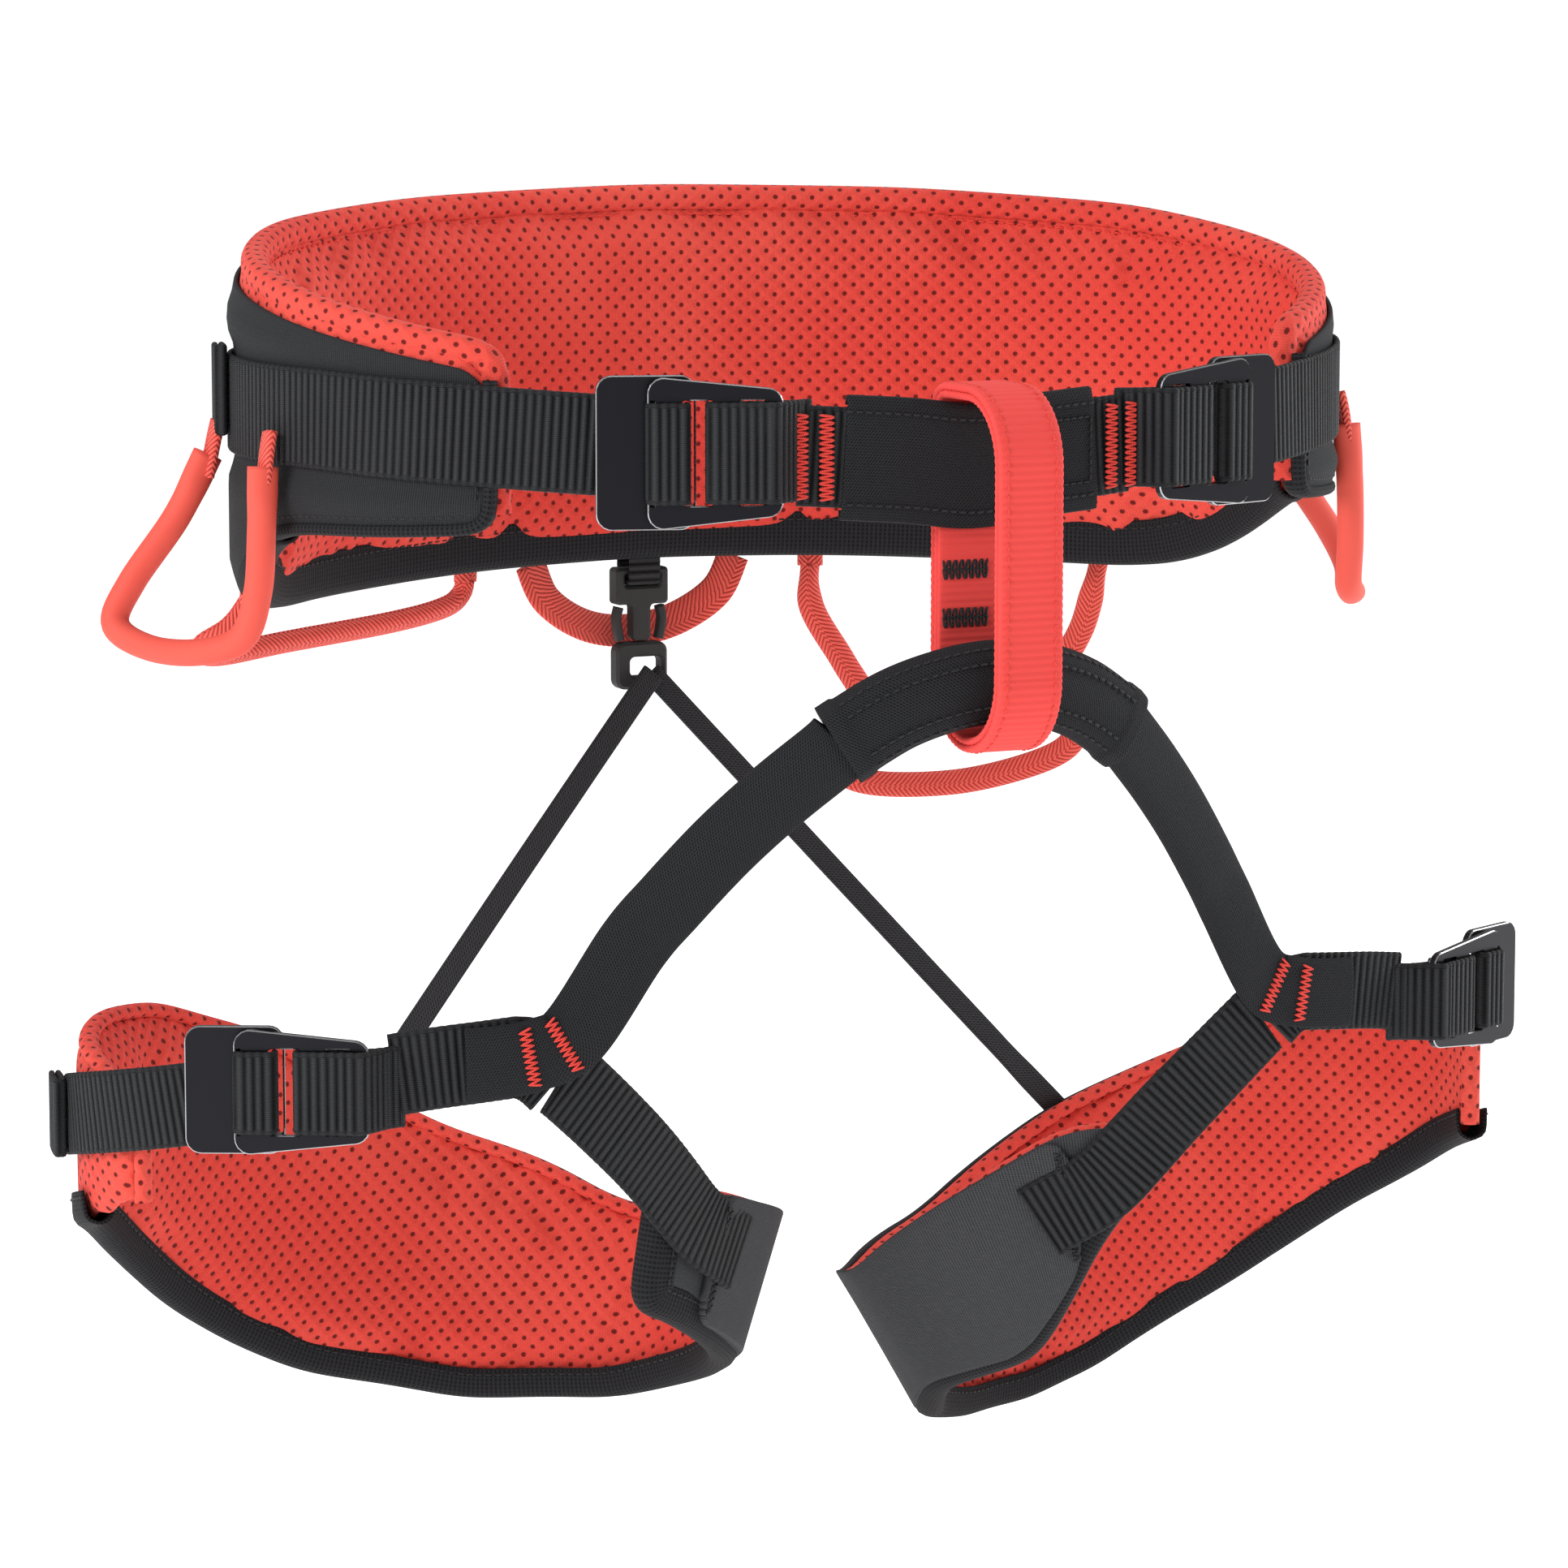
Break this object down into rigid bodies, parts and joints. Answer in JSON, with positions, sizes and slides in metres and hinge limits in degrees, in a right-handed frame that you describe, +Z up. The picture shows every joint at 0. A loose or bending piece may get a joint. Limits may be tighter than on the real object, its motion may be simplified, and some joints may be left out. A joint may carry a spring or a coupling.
{
  "type": "climbing harness",
  "caption": "Sit harness with padded waist belt, leg loops, two-plate buckles, belay loop, gear loops and elastic rear risers on a clip.",
  "frame": {"origin": "centre of the waist opening, level with the middle of the waist belt's sides", "axes": "+Z up when worn, -Y to the wearer's front, +X to the right of a viewer who faces the belay loop"},
  "size_m": [0.4802, 0.2945, 0.3959],
  "materials": {
    "mesh_red": "knitted spacer mesh",
    "shell_grey": "fine plain weave",
    "binding_black": "grosgrain ribbed tape",
    "webbing_black": "ribbed load webbing",
    "webbing_red": "ribbed load webbing",
    "sleeve_black": "woven tubular sleeve",
    "anodised_black": "black anodised, bright chamfers",
    "moulded_red": "satin moulded",
    "braid_red": "braided tubular tape",
    "nylon_black": "spark-eroded moulded nylon",
    "elastic_black": "braided elastic"
  },
  "bodies": {
    "waist": {"waist_pad": "mesh_red", "waist_shell_right": "shell_grey", "waist_shell_left": "shell_grey", "waist_binding": "binding_black", "waist_webbing": "webbing_black", "front_bridge": "webbing_black", "tie_in_sleeve": "sleeve_black", "waist_plate_right": "anodised_black", "waist_plate_left": "anodised_black", "waist_tail_right": "webbing_black", "waist_tail_left": "webbing_black", "riser_tab": "webbing_black", "clip_body": "nylon_black", "clip_hook": "nylon_black"},
    "belay": {"belay_loop": "webbing_red"},
    "legs": {"riser_right": "elastic_black", "riser_left": "elastic_black", "bridge_sleeve": "sleeve_black", "bridge_arm_right": "sleeve_black", "bridge_arm_left": "sleeve_black", "leg_pad_right": "mesh_red", "leg_pad_left": "mesh_red", "leg_shell_right": "shell_grey", "leg_shell_left": "shell_grey", "leg_binding_right": "binding_black", "leg_binding_left": "binding_black", "leg_strap_right": "webbing_black", "leg_strap_left": "webbing_black", "inner_strap_right": "webbing_black", "inner_strap_left": "webbing_black", "leg_plate_right": "anodised_black", "leg_plate_left": "anodised_black", "leg_link_right": "webbing_black", "leg_link_left": "webbing_black", "leg_tail_right": "webbing_black", "leg_tail_left": "webbing_black"},
    "waist_frame_right": {"waist_frame_right": "anodised_black", "waist_fold_right": "webbing_black"},
    "leg_frame_right": {"leg_frame_right": "anodised_black", "leg_fold_right": "webbing_black"},
    "front_gear_loop_right": {"front_gear_loop_right": "moulded_red"},
    "rear_gear_loop_right": {"rear_gear_loop_right": "braid_red"},
    "clip_prong_right": {"clip_prong_right": "nylon_black"},
    "waist_frame_left": {"waist_frame_left": "anodised_black", "waist_fold_left": "webbing_black"},
    "leg_frame_left": {"leg_frame_left": "anodised_black", "leg_fold_left": "webbing_black"},
    "front_gear_loop_left": {"front_gear_loop_left": "moulded_red"},
    "rear_gear_loop_left": {"rear_gear_loop_left": "braid_red"},
    "clip_prong_left": {"clip_prong_left": "nylon_black"},
    "haul_loop": {"haul_loop": "braid_red"}
  },
  "joints": [
    {"name": "legs_swing", "type": "hinge", "parent": "waist", "child": "legs", "pos_m": [0, -0.1365, -0.083], "axis": [1, 0, 0], "range_deg": [-5, 10], "deforming": ["riser_right", "riser_left"]},
    {"name": "belay_slide", "type": "slide", "parent": "waist", "child": "belay", "axis": [1, 0, 0], "range_m": [-0.008, 0.008]},
    {"name": "waist_frame_right_tilt", "type": "hinge", "parent": "waist", "child": "waist_frame_right", "pos_m": [0.07573, -0.11627, -0.016], "axis": [0, 0, -1], "range_deg": [0, 8]},
    {"name": "leg_frame_right_tilt", "type": "hinge", "parent": "legs", "child": "leg_frame_right", "pos_m": [0.18963, -0.08181, -0.197], "axis": [0, 0, -1], "range_deg": [0, 8]},
    {"name": "waist_frame_left_tilt", "type": "hinge", "parent": "waist", "child": "waist_frame_left", "pos_m": [-0.07573, -0.11627, -0.016], "axis": [0, 0, 1], "range_deg": [0, 8]},
    {"name": "leg_frame_left_tilt", "type": "hinge", "parent": "legs", "child": "leg_frame_left", "pos_m": [-0.18963, -0.08181, -0.197], "axis": [0, 0, 1], "range_deg": [0, 8]},
    {"name": "front_gear_loop_right_swing", "type": "hinge", "parent": "waist", "child": "front_gear_loop_right", "pos_m": [0.181, -0.023, -0.024], "axis": [0, -1, 0], "range_deg": [0, 60]},
    {"name": "front_gear_loop_left_swing", "type": "hinge", "parent": "waist", "child": "front_gear_loop_left", "pos_m": [-0.181, -0.023, -0.024], "axis": [0, 1, 0], "range_deg": [0, 60]},
    {"name": "rear_gear_loop_right_swing", "type": "hinge", "parent": "waist", "child": "rear_gear_loop_right", "pos_m": [0.061, 0.118, -0.075], "axis": [0.8965, -0.443, 0.0105], "range_deg": [0, 60]},
    {"name": "rear_gear_loop_left_swing", "type": "hinge", "parent": "waist", "child": "rear_gear_loop_left", "pos_m": [-0.152, 0.071, -0.074], "axis": [0.8884, 0.4589, -0.0098], "range_deg": [0, 50]},
    {"name": "haul_loop_swing", "type": "hinge", "parent": "waist", "child": "haul_loop", "pos_m": [0, 0.124, -0.072], "axis": [1, 0, 0], "range_deg": [0, 60]},
    {"name": "clip_prong_right_squeeze", "type": "hinge", "parent": "waist", "child": "clip_prong_right", "pos_m": [0.0068, 0.119, -0.0973], "axis": [0, -1, 0], "range_deg": [0, 7], "stiffness_Nm_per_rad": 0.02},
    {"name": "clip_prong_left_squeeze", "type": "hinge", "parent": "waist", "child": "clip_prong_left", "pos_m": [-0.0068, 0.119, -0.0973], "axis": [0, 1, 0], "range_deg": [0, 7], "stiffness_Nm_per_rad": 0.02}
  ],
  "couplings": [
    {"joint": "clip_prong_left_squeeze", "follows": "clip_prong_right_squeeze", "ratio": 1}
  ]
}
